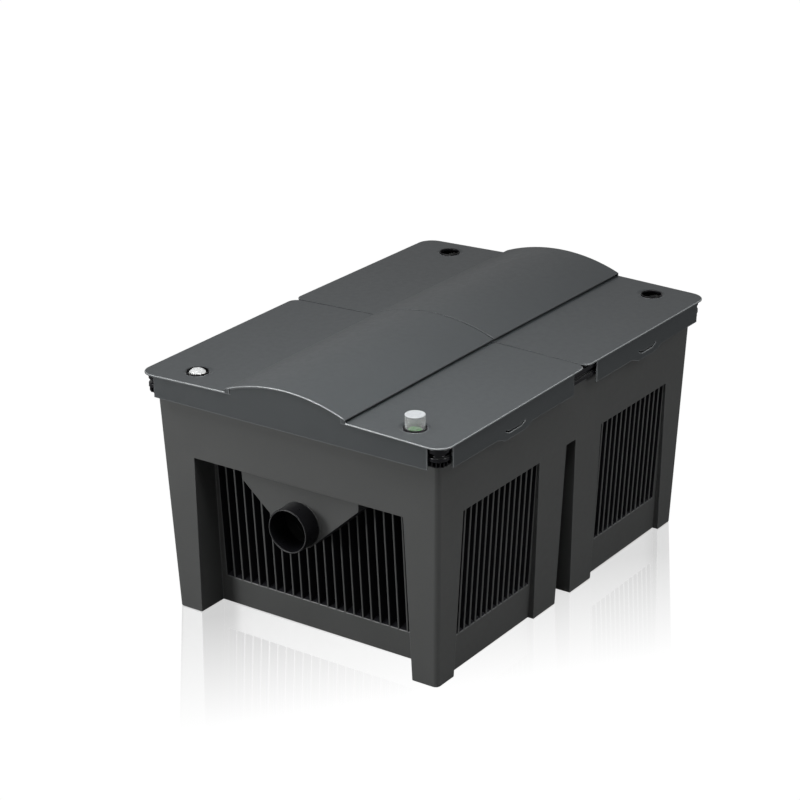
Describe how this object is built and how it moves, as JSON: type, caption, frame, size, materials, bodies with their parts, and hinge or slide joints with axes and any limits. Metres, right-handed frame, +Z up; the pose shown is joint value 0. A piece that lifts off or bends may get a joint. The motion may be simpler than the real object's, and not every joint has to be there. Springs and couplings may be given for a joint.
{
  "type": "pond filter box",
  "caption": "Flow-through pond filter box: a ribbed twin-basin tub with lift-off humped lids, pipe stubs, foam squeezers, a dirt indicator, a thermometer and drain valves.",
  "frame": {"origin": "centre of the base, on the surface the tub stands on", "axes": "X across the width, Y along the length with the inlet end at -Y, Z up"},
  "size_m": [0.553, 0.78, 0.4295],
  "materials": {
    "tub_plastic": "fine-textured moulded charcoal",
    "lid_plastic": "fine-textured moulded charcoal, slightly lighter",
    "black_plastic": "moulded black",
    "blue_foam": "open-cell coarse foam",
    "red_foam": "open-cell fine foam",
    "steel": "stainless",
    "red_plastic": "moulded red",
    "clear_plastic": "clear",
    "white_plastic": "moulded white",
    "green_plastic": "translucent green",
    "rubber": "matt black"
  },
  "bodies": {
    "housing": {"tub": "tub_plastic", "inlet_baffle": "black_plastic", "outlet_screen": "black_plastic", "media_basket": "black_plastic", "bio_media": "black_plastic", "front_floor_grid": "black_plastic", "rear_floor_grid": "black_plastic", "front_coarse_foam": "blue_foam", "front_medium_foam": "blue_foam", "front_fine_foam": "red_foam", "rear_coarse_foam": "blue_foam", "rear_medium_foam": "red_foam", "rear_fine_foam": "red_foam", "front_top_grid": "black_plastic", "rear_top_grid": "black_plastic", "front_grid_screws": "steel", "rear_grid_screws": "steel", "indicator_stand": "black_plastic", "indicator_cap": "clear_plastic", "thermometer_stand": "black_plastic", "thermometer_case": "white_plastic", "thermometer_probe": "steel", "thermometer_dial": "white_plastic", "thermometer_lens": "clear_plastic", "stand_screws": "steel", "drain_gaskets": "rubber", "drain_lock_nuts": "black_plastic", "front_drain_body": "black_plastic", "rear_drain_body": "black_plastic", "front_drain_cover": "black_plastic", "rear_drain_cover": "black_plastic", "drain_screws": "steel"},
    "front_lid": {"front_lid": "lid_plastic"},
    "rear_lid": {"rear_lid": "lid_plastic"},
    "front_cleaner": {"front_press_plate": "black_plastic", "front_pull_rods": "steel", "front_rod_nuts": "steel", "front_pull_handle": "red_plastic"},
    "rear_cleaner": {"rear_press_plate": "black_plastic", "rear_pull_rods": "steel", "rear_rod_nuts": "steel", "rear_pull_handle": "red_plastic"},
    "indicator": {"indicator_float": "white_plastic", "indicator_stem": "green_plastic"},
    "needle": {"thermometer_needle": "red_plastic"},
    "front_gate": {"front_drain_gate": "red_plastic"},
    "rear_gate": {"rear_drain_gate": "red_plastic"}
  },
  "joints": [
    {"name": "front_lid_lift", "type": "slide", "parent": "housing", "child": "front_lid", "axis": [0, 0, 1], "range_m": [0, 0.15]},
    {"name": "rear_lid_lift", "type": "slide", "parent": "housing", "child": "rear_lid", "axis": [0, 0, 1], "range_m": [0, 0.15]},
    {"name": "front_foam_squeeze", "type": "slide", "parent": "housing", "child": "front_cleaner", "axis": [0, 0, 1], "range_m": [0, 0.07], "stiffness_N_per_m": 800, "deforming": ["front_coarse_foam", "front_medium_foam", "front_fine_foam"]},
    {"name": "rear_foam_squeeze", "type": "slide", "parent": "housing", "child": "rear_cleaner", "axis": [0, 0, 1], "range_m": [0, 0.07], "stiffness_N_per_m": 800, "deforming": ["rear_coarse_foam", "rear_medium_foam", "rear_fine_foam"]},
    {"name": "indicator_rise", "type": "slide", "parent": "housing", "child": "indicator", "axis": [0, 0, 1], "range_m": [0, 0.012]},
    {"name": "thermometer_turn", "type": "hinge", "parent": "housing", "child": "needle", "pos_m": [-0.198, -0.343, 0.3965], "axis": [0, 0, 1], "range_deg": [-150, 110]},
    {"name": "front_drain_slide", "type": "slide", "parent": "housing", "child": "front_gate", "axis": [0, 0, 1], "range_m": [0, 0.042]},
    {"name": "rear_drain_slide", "type": "slide", "parent": "housing", "child": "rear_gate", "axis": [0, 0, 1], "range_m": [0, 0.042]}
  ]
}
